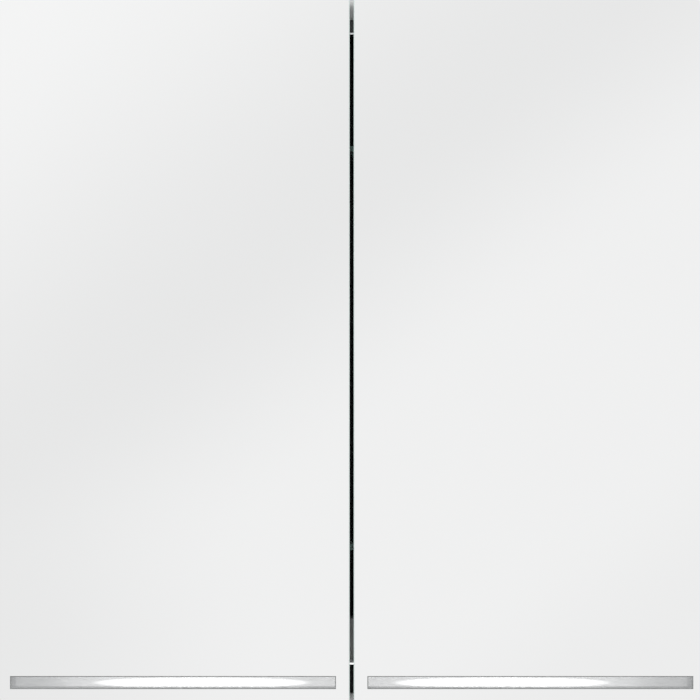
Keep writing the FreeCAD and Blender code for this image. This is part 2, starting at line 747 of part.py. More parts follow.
def hinge_screws(side, height):
    """The plate's two screws and the cup's two screws."""
    plate_screws, cup_screws = [], []
    for way in (-1, 1):
        z = f"{height} + ({way})*{PLATE_SCREW_Z}"
        x = door_x(side, "side_t - 11", "plate_t + 11")
        shank = rod(x, PLATE_SCREW_Y, z, "screw_r", "plate_t + 11", "+X")
        head = rod(door_x(side, "side_t + plate_t", "1.8"), PLATE_SCREW_Y, z, "head_r", "1.8", "+X")
        plate_screws.append(fuse(shank, head))
        z = f"{height} + ({way})*{CUP_SCREW_Z}"
        x = f"{side}*{CUP_X}"
        shank = rod(x, f"-{CARCASS} - seat_gap + flange_t", z, "screw_r", "flange_t + 9", "-Y")
        head = rod(x, f"-{CARCASS} - seat_gap + flange_t + 1.2", z, "head_r", "1.2", "-Y")
        cup_screws.append(fuse(shank, head))
    return plate_screws, cup_screws


def hinges():
    plate_screws = []
    for side, name in SIDES:
        pins, cup_screws = [], []
        for place_name, height in HINGE_HEIGHTS.items():
            full = f"{name}_{place_name}"
            hinge_plate(side, full, height)
            hinge_arm(side, full, height)
            hinge_cup(side, full, height)
            pins.append(hinge_pin(side, height))
            on_plate, on_cup = hinge_screws(side, height)
            plate_screws += on_plate
            cup_screws += on_cup
        node(group(*pins), f"{name}_hinge_pins")
        node(group(*cup_screws), f"{name}_hinge_cup_screws")
    node(group(*plate_screws), "hinge_plate_screws")


def front_mirror(side, name):
    """Glass the size of the door with a ground bevel round its face and a window for the light guide."""
    body = new_body()
    outline = new_sketch(body, "XZ")
    u0, u1 = plan_point(side, "0", "0")[0], plan_point(side, DOOR_WIDE, "0")[0]
    add_outline(outline, rectangle(u0, BOTTOM, u1, TOP))
    glass = pad(body, outline, "mirror_t", midplane=False)
    place(body, y=f"-{CARCASS} - {CORE_FRONT}")
    face = [f"Face{k}" for k, item in enumerate(glass.Shape.Faces, start=1) if item.normalAt(0, 0).y < -0.99]
    bevel = body.newObject("PartDesign::Chamfer", "Chamfer")
    bevel.Base = (glass, face)
    bind(bevel, "Size", "arris")
    DOC.recompute()
    window = new_sketch(body, "XZ")
    w0 = plan_point(side, "window_side", "0")[0]
    w1 = plan_point(side, f"{DOOR_WIDE} - window_side", "0")[0]
    add_outline(window, rectangle(w0, WINDOW_Z, w1, f"{WINDOW_Z} + window_tall"))
    pocket(body, window, "3*mirror_t")
    return node(body, f"{name}_door_mirror")


def door_core(side, name):
    """Core board with a rebate for the inner mirror, a slot for the light guide and the hinge cups' seats."""
    inset = "(mirror_lip + trim_t)"
    board = door_box(
        side,
        inset,
        "seat_gap",
        f"{BOTTOM} + {inset}",
        f"{DOOR_WIDE} - 2*{inset}",
        "core_t",
        f"height - 2*{inset}",
    )
    rebate = door_box(
        side,
        "hinge_band",
        "seat_gap",
        f"{BOTTOM} + inner_foot",
        f"{DOOR_WIDE} - hinge_band - inner_border",
        "inner_mirror_t",
        "height - inner_foot - inner_border",
    )
    slot = light_bar(side, "seat_gap - 1", "core_t + 2")
    tools = [rebate, slot, *hinge_seats(side)]
    return node(cut(board, *tools), f"{name}_door_core")


def hinge_seats(side):
    """Room in the core and the trim for each cup, its nose and its screws."""
    seats = []
    for height in HINGE_HEIGHTS.values():
        cup_x = f"{side}*{CUP_X}"
        nose_low = f"{height} - nose_tall/2"
        seats.append(rod(cup_x, f"-{CARCASS} - seat_gap + 1", height, "cup_r", "cup_deep + 1", "-Y"))
        seats.append(door_box(side, "-1", "seat_gap - 1", nose_low, "15", "cup_deep + 1", "nose_tall"))
        for way in (-1, 1):
            z = f"{height} + ({way})*{CUP_SCREW_Z}"
            seats.append(rod(cup_x, f"-{CARCASS} - seat_gap", z, "screw_r", "9.5", "-Y"))
    return seats


def light_bar(side, v, long_v):
    """The light guide's own section, which its slot in the core shares."""
    return door_box(
        side,
        "window_side + window_seam",
        v,
        f"{WINDOW_Z} + window_seam",
        f"{DOOR_WIDE} - 2*(window_side + window_seam)",
        long_v,
        "window_tall - 2*window_seam",
    )


def edge_trim(side, name):
    """Thin metal band round the core, cut away where the hinge noses come through."""
    wide, tall = f"({DOOR_WIDE} - 2*mirror_lip)", "(height - 2*mirror_lip)"
    outer = door_box(side, "mirror_lip", "seat_gap", f"{BOTTOM} + mirror_lip", wide, "core_t", tall)
    inner = door_box(
        side,
        "mirror_lip + trim_t",
        "seat_gap - 1",
        f"{BOTTOM} + mirror_lip + trim_t",
        f"{wide} - 2*trim_t",
        "core_t + 2",
        f"{tall} - 2*trim_t",
    )
    return node(cut(outer, inner, *hinge_seats(side)), f"{name}_door_edge_trim")


def doors():
    for side, name in SIDES:
        front_mirror(side, name)
        door_core(side, name)
        edge_trim(side, name)
        node(light_bar(side, "seat_gap", "core_t + mirror_t - guide_setback"), f"{name}_door_light_guide")
        glass = door_box(
            side,
            "hinge_band",
            "seat_gap",
            f"{BOTTOM} + inner_foot",
            f"{DOOR_WIDE} - hinge_band - inner_border",
            "inner_mirror_t",
            "height - inner_foot - inner_border",
        )
        node(glass, f"{name}_door_inner_mirror")
    buffers = [
        rod(f"{side}*20", f"-{CARCASS}", z, "2.5", "seat_gap - 0.2", "-Y")
        for side, _ in SIDES
        for z in (f"{TOP} - top_t/2", f"{FLOOR} - 3")
    ]
    node(group(*buffers), "door_buffers")


def check_and_write():
    """Stops if any object failed, then writes each sub-part to its own STEP file."""
    DOC.recompute()
    for obj in DOC.Objects:
        if "Invalid" in obj.State or "Error" in obj.State:
            raise RuntimeError(f"{obj.Label} failed: {obj.State}")
    os.makedirs("parts", exist_ok=True)
    for obj in NODES:
        shape = obj.Shape
        if shape.isNull() or not shape.isValid() or not shape.Solids:
            raise RuntimeError(f"{obj.Label} has no valid solid")
        shape.exportStep(f"parts/{obj.Label}.step")
    print(f"{len(NODES)} sub-parts written")


carcass()
hanging_parts()
shelves()
light()
switch()
hinges()
doors()
check_and_write()
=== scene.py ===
import json
import math

import bmesh
import bpy
from mathutils import Matrix, Vector


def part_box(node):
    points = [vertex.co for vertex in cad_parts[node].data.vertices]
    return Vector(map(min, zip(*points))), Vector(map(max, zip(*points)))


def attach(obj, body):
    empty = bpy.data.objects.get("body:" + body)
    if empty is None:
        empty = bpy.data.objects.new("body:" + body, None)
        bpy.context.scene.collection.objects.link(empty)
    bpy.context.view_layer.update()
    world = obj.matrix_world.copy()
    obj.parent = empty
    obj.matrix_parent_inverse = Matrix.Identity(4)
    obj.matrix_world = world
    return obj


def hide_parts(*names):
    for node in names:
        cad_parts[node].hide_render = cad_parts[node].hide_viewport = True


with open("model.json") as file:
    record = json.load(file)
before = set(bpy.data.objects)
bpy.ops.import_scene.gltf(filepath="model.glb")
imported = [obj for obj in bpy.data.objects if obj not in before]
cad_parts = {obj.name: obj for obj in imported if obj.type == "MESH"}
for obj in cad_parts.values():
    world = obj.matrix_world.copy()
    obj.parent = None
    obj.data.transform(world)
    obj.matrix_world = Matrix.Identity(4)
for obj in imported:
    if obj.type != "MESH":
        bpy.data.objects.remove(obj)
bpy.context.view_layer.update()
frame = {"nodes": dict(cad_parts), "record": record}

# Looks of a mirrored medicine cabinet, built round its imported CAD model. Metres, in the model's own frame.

MM = 0.001
SIDES = ("left", "right")
SIGN = {"left": -1, "right": 1}
HINGES = ("upper", "lower")


# ---------------------------------------------------------------- shader nodes
class Tree:
    """Short names for the shader nodes that the finishes share. Arguments are sockets or constants."""

    def __init__(self, tree):
        self.tree = tree
        tree.nodes.clear()

    def put(self, socket, value):
        if isinstance(value, bpy.types.NodeSocket):
            self.tree.links.new(value, socket)
        elif isinstance(value, (tuple, list)) and len(value) == 3 and socket.type == "RGBA":
            socket.default_value = (*value, 1.0)
        else:
            socket.default_value = value

    def add(self, kind, inputs=None, **settings):
        node = self.tree.nodes.new("ShaderNode" + kind)
        for key, value in settings.items():
            setattr(node, key, value)
        for key, value in (inputs or {}).items():
            self.put(node.inputs[key], value)
        return node

    def math(self, operation, a, b=0.0):
        return self.add("Math", {0: a, 1: b}, operation=operation).outputs[0]

    def vmath(self, operation, a, b=(0.0, 0.0, 0.0), out=0):
        return self.add("VectorMath", {0: a, 1: b}, operation=operation).outputs[out]

    def smooth(self, value, low, high, to_low=0.0, to_high=1.0):
        """Eases from to_low to to_high as value goes from low to high."""
        inputs = {"Value": value, "From Min": low, "From Max": high, "To Min": to_low, "To Max": to_high}
        return self.add("MapRange", inputs, interpolation_type="SMOOTHSTEP").outputs[0]

    def mix(self, factor, a, b):
        return self.add("Mix", {0: factor, 6: a, 7: b}, data_type="RGBA").outputs[2]

    def noise(self, vector, scale, detail=3.0, rough=0.5):
        inputs = {"Vector": vector, "Scale": scale, "Detail": detail, "Roughness": rough}
        return self.add("TexNoise", inputs).outputs[0]

    def stretch(self, vector, scale):
        return self.vmath("MULTIPLY", vector, scale)

    def bump(self, height, distance, normal=None):
        inputs = {"Height": height, "Distance": distance, "Strength": 1.0}
        if normal is not None:
            inputs["Normal"] = normal
        return self.add("Bump", inputs).outputs[0]

    def split(self, vector):
        return self.add("SeparateXYZ", {0: vector}).outputs


class Finish(Tree):
    """A material with a Principled shader and the coordinates that its patterns use."""

    def __init__(self, name):
        self.material = bpy.data.materials.new(name)
        self.material.use_nodes = True
        super().__init__(self.material.node_tree)
        out = self.add("OutputMaterial")
        self.shader = self.add("BsdfPrincipled")
        self.tree.links.new(self.shader.outputs[0], out.inputs[0])
        place = self.add("TexCoord")
        self.place = place.outputs["Object"]
        self.facing = place.outputs["Normal"]

    def set(self, **values):
        for key, value in values.items():
            self.put(self.shader.inputs[key.replace("_", " ")], value)

    def now(self, name):
        """What feeds one of the shader's sockets so far."""
        return self.shader.inputs[name].links[0].from_socket

    def rounded(self, radius):
        """The surface normal as if every edge were rounded, and a mask of those edges."""
        bevel = self.add("Bevel", {"Radius": radius}, samples=4).outputs[0]
        true = self.add("NewGeometry").outputs["Normal"]
        turn = self.vmath("DOT_PRODUCT", bevel, true, out=1)
        return bevel, self.smooth(turn, 0.99, 0.80)


def shade(color, factor):
    return tuple(min(1.0, c * factor) for c in color)


def coated(name, color, rough, peel_scale, peel, spread=0.05, edge=0.5 * MM, wear=None):
    """Paint, laminate, plastic or rubber: a slightly uneven colour, a fine skin and softened, worn edges."""
    f = Finish(name)
    blotch = f.noise(f.place, 9.0, 4.0, 0.6)
    fleck = f.noise(f.place, 1400.0, 2.0, 0.6)
    base = f.mix(f.smooth(blotch, 0.30, 0.70), shade(color, 1 - spread), shade(color, 1 + spread * 0.4))
    base = f.mix(f.smooth(fleck, 0.52, 0.80, 0.0, 0.35), base, shade(color, 0.86))
    normal, edges = f.rounded(edge)
    patchy = f.math("MULTIPLY", edges, f.smooth(f.noise(f.place, 160.0, 3.0), 0.35, 0.65, 0.25, 1.0))
    base = f.mix(patchy, base, wear or shade(color, 1.06))
    skin = f.noise(f.place, peel_scale, 2.0, 0.55)
    scuff = f.smooth(f.noise(f.stretch(f.place, (1.0, 1.0, 3.0)), 45.0, 4.0, 0.7), 0.45, 0.75)
    f.set(Base_Color=base, Roughness=f.math("ADD", f.math("MULTIPLY", scuff, 0.10), rough))
    f.set(Normal=f.bump(skin, peel, normal))
    return f


def metal(name, color, rough, along, lines, wear, edge=0.35 * MM, dull=0.12):
    """Metal with fine lines, stretched by the factors in along, brighter rubbed edges and cloudy patches."""
    f = Finish(name)
    drawn = f.noise(f.stretch(f.place, along), lines, 5.0, 0.75)
    cloud = f.noise(f.place, 55.0, 4.0, 0.6)
    base = f.mix(f.smooth(drawn, 0.25, 0.75), shade(color, 0.90), shade(color, 1.05))
    base = f.mix(f.smooth(cloud, 0.45, 0.75, 0.0, 0.5), base, shade(color, 1 - dull * 1.5))
    normal, edges = f.rounded(edge)
    rubbed = f.math("MULTIPLY", edges, f.smooth(f.noise(f.place, 240.0, 3.0), 0.3, 0.6))
    base = f.mix(rubbed, base, wear)
    gloss = f.math("ADD", f.math("MULTIPLY", drawn, dull), rough - dull / 2)
    polish = f.math("MULTIPLY", rubbed, 0.08)
    f.set(Base_Color=base, Metallic=1.0, Roughness=f.math("SUBTRACT", gloss, polish))
    f.set(Normal=f.bump(drawn, 0.012 * MM, normal))
    return f


def silvered(name, tone, front):
    """Silvered glass: the face whose Y normal has the sign of front is a mirror, the other is painted."""
    f = Finish(name)
    facing_y = f.math("MULTIPLY", f.split(f.facing)[1], float(front))
    is_face = f.smooth(facing_y, 0.93, 0.97)
    is_back = f.smooth(facing_y, -0.93, -0.97)
    grind = f.noise(f.stretch(f.place, (1.0, 4.0, 1.0)), 900.0, 3.0, 0.7)
    edge_color = f.mix(grind, (0.62, 0.73, 0.69), (0.84, 0.90, 0.88))
    paint = f.mix(f.noise(f.place, 300.0, 3.0), (0.16, 0.18, 0.18), (0.22, 0.24, 0.24))
    haze = f.noise(f.place, 7.0, 3.0, 0.55)
    silver = f.mix(haze, shade(tone, 0.996), shade(tone, 1.004))
    base = f.mix(is_face, f.mix(is_back, edge_color, paint), silver)
    veil = f.math("MULTIPLY", f.smooth(f.noise(f.place, 26.0, 4.0, 0.65), 0.5, 0.9), 0.012)
    edge_rough = f.math("ADD", f.math("MULTIPLY", grind, 0.2), 0.25)
    rough = f.math("ADD", f.math("MULTIPLY", f.math("SUBTRACT", 1.0, is_face), edge_rough), veil)
    f.set(Base_Color=base, Metallic=is_face, Roughness=rough)
    f.set(Normal=f.bump(f.math("MULTIPLY", grind, f.math("SUBTRACT", 1.0, is_face)), 0.03 * MM))
    return f


def laminate(name, color, band_y=None):
    """Melamine-faced board with a fine pore; its front edge's band ends at band_y in a hairline joint."""
    skin = {"rough": 0.36, "peel_scale": 2600.0, "peel": 0.010 * MM}
    f = coated(name, color, **skin, spread=0.02, edge=0.6 * MM, wear=shade(color, 1.03))
    pore = f.add("TexVoronoi", {"Vector": f.place, "Scale": 1100.0, "Randomness": 1.0}).outputs["Distance"]
    f.set(Normal=f.bump(f.smooth(pore, 0.0, 0.35), 0.006 * MM, f.now("Normal")))
    if band_y is not None:
        away = f.math("ABSOLUTE", f.math("SUBTRACT", f.split(f.place)[1], band_y))
        line = f.smooth(away, 0.22 * MM, 0.08 * MM, 0.0, 0.55)
        f.set(Base_Color=f.mix(line, f.now("Base Color"), shade(color, 0.55)))
    return f


def two_faced_board(name, front_color):
    """Thin fibre board: lacquered towards the inside, bare brown fibre towards the wall and on its edges."""
    f = coated(name, front_color, rough=0.42, peel_scale=1500.0, peel=0.012 * MM, spread=0.02)
    fibre = f.noise(f.stretch(f.place, (1.0, 6.0, 2.2)), 700.0, 6.0, 0.8)
    chip = f.noise(f.stretch(f.place, (1.0, 4.0, 1.8)), 210.0, 5.0, 0.8)
    drift = f.noise(f.place, 6.0, 4.0, 0.6)
    brown = f.mix(f.smooth(fibre, 0.3, 0.7), (0.19, 0.125, 0.075), (0.40, 0.285, 0.18))
    brown = f.mix(f.smooth(chip, 0.50, 0.66), brown, (0.46, 0.34, 0.22))
    brown = f.mix(f.smooth(chip, 0.44, 0.34, 0.0, 0.8), brown, (0.13, 0.085, 0.05))
    brown = f.mix(f.smooth(drift, 0.35, 0.65, 0.0, 0.3), brown, (0.24, 0.17, 0.11))
    bare = f.smooth(f.split(f.facing)[1], -0.5, -0.1)
    f.set(Base_Color=f.mix(bare, f.now("Base Color"), brown))
    f.set(Roughness=f.smooth(bare, 0.0, 1.0, 0.42, 0.80))
    f.set(Normal=f.bump(f.math("MULTIPLY", fibre, bare), 0.05 * MM, f.now("Normal")))
    return f


def shelf_glass(name):
    """Clear glass sheet: faintly green faces that show what is behind, and edges that hold the green."""
    f = Finish(name)
    is_face = f.smooth(f.math("ABSOLUTE", f.split(f.facing)[2]), 0.90, 0.97)
    grind = f.noise(f.place, 1200.0, 3.0, 0.7)
    streak = f.noise(f.stretch(f.place, (0.6, 3.0, 3.0)), 60.0, 3.0)
    edge = f.mix(f.smooth(streak, 0.3, 0.7), (0.21, 0.45, 0.37), (0.29, 0.62, 0.51))
    dust = f.smooth(f.noise(f.place, 500.0, 4.0, 0.7), 0.55, 0.8, 0.0, 0.04)
    f.set(Base_Color=f.mix(is_face, edge, (0.80, 0.90, 0.86)))
    f.set(Alpha=f.math("ADD", f.smooth(is_face, 0.0, 1.0, 0.92, 0.14), dust))
    polish = f.smooth(is_face, 0.0, 1.0, 0.16, 0.03)
    f.set(Roughness=f.math("ADD", polish, f.math("MULTIPLY", grind, 0.04)), Normal=f.bump(grind, 0.004 * MM))
    return f


# ---------------------------------------------------------------- places taken from the model
def middle(low, high):
    return tuple((a + b) / 2 for a, b in zip(low, high))


MIRROR = {side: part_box(f"{side}_door_mirror") for side in SIDES}
GUIDE = {side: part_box(f"{side}_door_light_guide") for side in SIDES}
COVER_LOW, COVER_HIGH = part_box("light_cover")
DOOR_FRONT = MIRROR["left"][0][1]
DOOR_TOP = MIRROR["left"][1][2]
GLASS_BACK = MIRROR["left"][1][1]
HALF_WIDE = MIRROR["right"][1][0]
CARCASS_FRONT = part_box("left_side_panel")[0][1]
CORE_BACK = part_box("left_door_core")[1][1]
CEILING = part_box("top_panel")[0][2]


# ---------------------------------------------------------------- the lit windows: glow painted on the cover
# Sizes of the light painted on the cover as emission: glow, halo, painted shade beside the gap and a painted
# line of light.
LAMP_X = abs(middle(*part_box("left_lamp_tube"))[0])
WINDOW_Z = middle(*GUIDE["left"])[2]
WINDOW_INNER = GUIDE["right"][0][0]
PAINTED_GLOW_HALF_LONG = 106 * MM
PAINTED_GLOW_HALF_TALL = 5.1 * MM
PAINTED_GLOW_DROP = 2.2 * MM
PAINTED_HALO_HALF_TALL = 10 * MM
GAP_SHADE_END = WINDOW_INNER - 3 * MM
GAP_SHADE_WIDE = 4 * MM
PAINTED_LEAK_Z = COVER_HIGH[2] - 3.5 * MM
PAINTED_LEAK_HALF_LONG = 9 * MM


def painted_glow_cover(name):
    """Opal sheet with painted light: a long bright patch painted as emission in front of each lamp, painted
    shade beside the gap between the doors and a thin painted line of light between the two.
    """
    f = coated(name, (0.86, 0.86, 0.85), rough=0.45, peel_scale=1800.0, peel=0.008 * MM, spread=0.02)
    x, _, z = f.split(f.place)
    from_centre = f.math("ABSOLUTE", x)
    from_lamp = f.math("SUBTRACT", from_centre, LAMP_X)
    rise = f.math("SUBTRACT", z, WINDOW_Z)
    along = f.math("POWER", f.math("ABSOLUTE", f.math("DIVIDE", from_lamp, PAINTED_GLOW_HALF_LONG)), 2.6)
    lowered = f.math("ADD", rise, PAINTED_GLOW_DROP)
    across = f.math("POWER", f.math("DIVIDE", lowered, PAINTED_GLOW_HALF_TALL), 2.0)
    # Painted glow and halo: emission laid in the cover's own coordinates, standing in for the lamps' light.
    painted_glow = f.smooth(f.math("ADD", along, across), 1.18, 0.62, 0.0, 1.4)
    painted_halo = f.smooth(from_lamp, LAMP_X + 13 * MM, PAINTED_GLOW_HALF_LONG + 10 * MM, 0.22, 0.58)
    fall = f.smooth(f.math("ABSOLUTE", rise), PAINTED_HALO_HALF_TALL, PAINTED_HALO_HALF_TALL / 2)
    ripple = f.smooth(f.noise(f.place, 90.0, 3.0), 0.3, 0.7, 0.97, 1.03)
    level = f.math("ADD", f.math("MULTIPLY", painted_halo, fall), painted_glow)
    level = f.math("MULTIPLY", level, ripple)
    # Painted shade: the painted glow is dimmed beside the gap between the doors.
    painted_gap_shade = f.smooth(from_centre, GAP_SHADE_END - GAP_SHADE_WIDE, GAP_SHADE_END)
    # Painted light: a thin line of emission between the two lamps.
    line = f.smooth(f.math("ABSOLUTE", f.math("SUBTRACT", z, PAINTED_LEAK_Z)), 1.2 * MM, 0.7 * MM)
    painted_leak = f.math("MULTIPLY", line, f.smooth(from_centre, 2 * PAINTED_LEAK_HALF_LONG, PAINTED_LEAK_HALF_LONG))
    level = f.math("ADD", f.math("MULTIPLY", level, painted_gap_shade), painted_leak)
    f.set(Emission_Color=(1.0, 1.0, 1.0), Emission_Strength=level)
    return f


def light_guide(name):
    """Milky bar whose satin front shows the cover's painted glow behind it."""
    f = Finish(name)
    facing_y = f.split(f.facing)[1]
    front = f.smooth(facing_y, -0.5, -0.9)
    rear = f.smooth(facing_y, 0.5, 0.9)
    frost = f.noise(f.place, 2400.0, 3.0, 0.6)
    streak = f.noise(f.stretch(f.place, (0.4, 1.0, 2.0)), 120.0, 3.0)
    base = f.mix(f.smooth(streak, 0.3, 0.7), (0.78, 0.79, 0.80), (0.85, 0.86, 0.87))
    f.set(Base_Color=base, Roughness=f.math("ADD", f.math("MULTIPLY", frost, 0.1), 0.32))
    milky = f.math("SUBTRACT", f.smooth(front, 0.0, 1.0, 0.50, 0.38), f.math("MULTIPLY", rear, 0.45))
    f.set(Alpha=milky, Normal=f.bump(frost, 0.006 * MM))
    return f


# ---------------------------------------------------------------- finishes of the CAD pieces
WHITE = (0.80, 0.80, 0.79)
LACQUER = (0.050, 0.052, 0.056)
MIRROR_TONE = (0.905, 0.908, 0.908)
EVEN = (1.0, 1.0, 1.0)
DRAWN_X = (0.05, 1.0, 1.0)
DRAWN_Y = (1.0, 0.12, 1.0)
DRAWN_Z = (1.0, 1.0, 0.02)

zinc = metal("zinc_plate", (0.62, 0.64, 0.67), rough=0.34, along=EVEN, lines=180.0, wear=(0.80, 0.81, 0.82))
bright_sheet = metal(
    "bright_aluminium", (0.80, 0.81, 0.82), rough=0.18, along=DRAWN_X, lines=900.0, wear=(0.9, 0.9, 0.9)
)
nickel = metal(
    "nickel_plate",
    (0.78, 0.77, 0.745),
    rough=0.36,
    along=DRAWN_Y,
    lines=900.0,
    wear=(0.90, 0.89, 0.87),
    dull=0.07,
)
anodised = metal(
    "anodised_aluminium",
    (0.60, 0.61, 0.62),
    rough=0.36,
    along=DRAWN_Z,
    lines=1500.0,
    wear=(0.82, 0.83, 0.84),
)
moulded = coated(
    "white_moulded_plastic", (0.78, 0.78, 0.77), rough=0.34, peel_scale=900.0, peel=0.02 * MM, edge=0.6 * MM
)
gloss_plastic = coated(
    "gloss_switch_plastic", (0.80, 0.80, 0.78), rough=0.16, peel_scale=500.0, peel=0.004 * MM, spread=0.02
)
powder = coated(
    "white_powder_coat",
    (0.80, 0.80, 0.80),
    rough=0.42,
    peel_scale=1300.0,
    peel=0.03 * MM,
    spread=0.03,
    wear=(0.70, 0.70, 0.69),
)
rubber = coated(
    "grey_rubber",
    (0.10, 0.10, 0.11),
    rough=0.72,
    peel_scale=700.0,
    peel=0.04 * MM,
    spread=0.2,
    wear=(0.17, 0.17, 0.18),
)
lamp_tube = coated(
    "opal_lamp_glass", (0.86, 0.86, 0.83), rough=0.18, peel_scale=400.0, peel=0.004 * MM, spread=0.02
)
ballast_case = coated(
    "ballast_case", (0.72, 0.72, 0.70), rough=0.42, peel_scale=900.0, peel=0.03 * MM, spread=0.06
)
BY_SLOT = {
    "board": laminate("white_laminate", WHITE, band_y=CARCASS_FRONT + 1 * MM),
    "back_board": two_faced_board("fibre_back_board", LACQUER),
    "zinc_steel": zinc,
    "white_plastic": moulded,
    "grey_rubber": rubber,
    "white_metal": powder,
    "bright_reflector": bright_sheet,
    # The opal cover's glow is painted light.
    "opal_cover": painted_glow_cover("opal_cover_painted_glow"),
    "lamp_glass": lamp_tube,
    "lamp_cap": bright_sheet,
    "ballast_case": ballast_case,
    "switch_plastic": gloss_plastic,
    "hinge_nickel": nickel,
    "light_guide": light_guide("satin_light_guide"),
    "edge_aluminium": anodised,
    "shelf_glass": shelf_glass("shelf_glass"),
}
front_silver = silvered("front_mirror", MIRROR_TONE, front=-1)
inner_silver = silvered("inner_mirror", MIRROR_TONE, front=1)
core_board = laminate("door_core_laminate", WHITE)
BY_NODE = {}
for side in SIDES:
    BY_NODE[f"{side}_door_mirror"] = front_silver
    BY_NODE[f"{side}_door_inner_mirror"] = inner_silver
    BY_NODE[f"{side}_door_core"] = core_board

slot_of = {item["node"]: item["material_slot"] for item in frame["record"]["subparts"]}
for node_name, obj in frame["nodes"].items():
    finish = BY_NODE.get(node_name) or BY_SLOT.get(slot_of[node_name])
    if finish is None:
        continue
    for held in obj.material_slots:
        held.link = "OBJECT"
        held.material = finish.material


# ---------------------------------------------------------------- edges of the CAD boards
def add_bevel(obj, width, segments, degrees):
    bevel = obj.modifiers.new("rounding", "BEVEL")
    bevel.width = width
    bevel.segments = segments
    bevel.limit_method = "ANGLE"
    bevel.angle_limit = math.radians(degrees)
    bevel.harden_normals = True


ROUNDING = {
    "left_side_panel": 0.6,
    "right_side_panel": 0.6,
    "top_panel": 0.6,
    "bottom_panel": 0.6,
    "left_door_core": 0.5,
    "right_door_core": 0.5,
    "upper_shelf": 0.9,
    "lower_shelf": 0.9,
    "switch_case": 1.2,
    "switch_bezel": 0.5,
    "ballast": 0.8,
    "terminal_block": 0.6,
    "left_upper_hinge_plate": 0.4,
    "left_lower_hinge_plate": 0.4,
    "right_upper_hinge_plate": 0.4,
    "right_lower_hinge_plate": 0.4,
}
for node_name, width in ROUNDING.items():
    board = frame["nodes"][node_name]
    weld = board.modifiers.new("weld", "WELD")
    weld.merge_threshold = 2e-6
    add_bevel(board, width * MM, segments=2, degrees=50)


# ---------------------------------------------------------------- shapes for the pieces made here
def piece(name, fill, finish, body, stands_for=()):
    """A new object: its shape, its finish, the body it rides on and the nodes it stands for."""
    bm = bmesh.new()
    fill(bm)
    bmesh.ops.remove_doubles(bm, verts=bm.verts, dist=1e-6)
    bmesh.ops.recalc_face_normals(bm, faces=bm.faces)
    mesh = bpy.data.meshes.new(name)
    bm.to_mesh(mesh)
    bm.free()
    made = bpy.data.objects.new(name, mesh)
    bpy.context.scene.collection.objects.link(made)
    mesh.materials.append(finish.material)
    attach(made, body)
    if stands_for:
        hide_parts(*stands_for)
    return made


def shade_smooth(obj):
    for face in obj.data.polygons:
        face.use_smooth = True


def soften(obj, width, segments=3, degrees=40):
    """Rounds a piece's edges and shades it smooth across the rounding."""
    add_bevel(obj, width, segments, degrees)
    shade_smooth(obj)


def walls(bm, low, high):
    """Faces between two closed loops of vertices."""
    for k in range(len(low)):
        n = (k + 1) % len(low)
        bm.faces.new((low[k], low[n], high[n], high[k]))


def prism(bm, first, last):
    """A solid between two outlines of points."""
    ends = [[bm.verts.new(point) for point in outline] for outline in (first, last)]
    walls(bm, *ends)
    for end in ends:
        bm.faces.new(end)


def block(bm, low, high):
    """A closed box between two corners."""
    (x0, y0, z0), (x1, y1, z1) = low, high
    outlines = [((x0, y0, z), (x1, y0, z), (x1, y1, z), (x0, y1, z)) for z in (z0, z1)]
    prism(bm, *outlines)


class Turned:
    """Round shapes about a direction from an origin."""

    def __init__(self, bm, origin, direction, steps=32):
        self.bm = bm
        self.steps = steps
        turn = Vector(direction).to_track_quat("Z", "Y").to_matrix().to_4x4()
        self.place = Matrix.Translation(Vector(origin)) @ turn

    def point(self, x, y, height):
        return self.bm.verts.new(self.place @ Vector((x, y, height)))

    def ring(self, radius, height):
        angles = [2 * math.pi * k / self.steps for k in range(self.steps)]
        return [self.point(radius * math.cos(a), radius * math.sin(a), height) for a in angles]

    def fan(self, ring, height):
        """Closes a ring with a point on the axis."""
        tip = self.point(0, 0, height)
        for k in range(self.steps):
            self.bm.faces.new((ring[k], ring[(k + 1) % self.steps], tip))

    def solid(self, profile):
        """Turns a profile of (radius, height) and closes both ends."""
        rings = [self.ring(radius, height) for radius, height in profile]
        for low, high in zip(rings, rings[1:]):
            walls(self.bm, low, high)
        self.fan(rings[0], profile[0][1])
        self.fan(rings[-1], profile[-1][1])


def cross_head(bm, origin, direction, radius, height, depth, shank=0.0, shank_radius=0.0):
    """A pan-head screw with a cross recess; origin is the seat under its head."""
    turned = Turned(bm, origin, direction)
    lip = 0.16 * radius
    profile = [(radius, 0), (radius, height - 1.6 * lip)]
    profile += [(radius - 0.35 * lip, height - 0.6 * lip), (radius - 1.3 * lip, height)]
    rings = [turned.ring(r, z) for r, z in profile]
    for low, high in zip(rings, rings[1:]):
        walls(bm, low, high)
    if shank > 0:
        top = turned.ring(shank_radius, 0)
        taper = turned.ring(shank_radius, -shank + 2 * shank_radius)
        walls(bm, rings[0], top)
        walls(bm, top, taper)
        turned.fan(taper, -shank)
    else:
        bm.faces.new(rings[0])
    arm, reach = 0.15 * radius, 0.56 * radius
    cross = []
    for quarter in range(4):
        c, s = math.cos(math.pi / 2 * quarter), math.sin(math.pi / 2 * quarter)
        for x, y in ((reach, -arm), (reach, arm), (arm, arm)):
            cross.append((x * c - y * s, x * s + y * c))
    mouth = [turned.point(x, y, height) for x, y in cross]
    floor = [turned.point(0.72 * x, 0.72 * y, height - depth) for x, y in cross]
    walls(bm, mouth, floor)
    bm.faces.new(floor)
    edges = []
    for loop in (rings[-1], mouth):
        for k in range(len(loop)):
            edges.append(bm.edges.get((loop[k], loop[(k + 1) % len(loop)])))
    bmesh.ops.triangle_fill(bm, edges=edges, use_beauty=True)


# ---------------------------------------------------------------- window gaskets, grey as painted shade in the seams
SEAM = 0.78 * MM
GASKET_LIP = 0.15 * MM
GASKET_SUNK = 0.15 * MM
GASKET_SHORT = 0.1 * MM


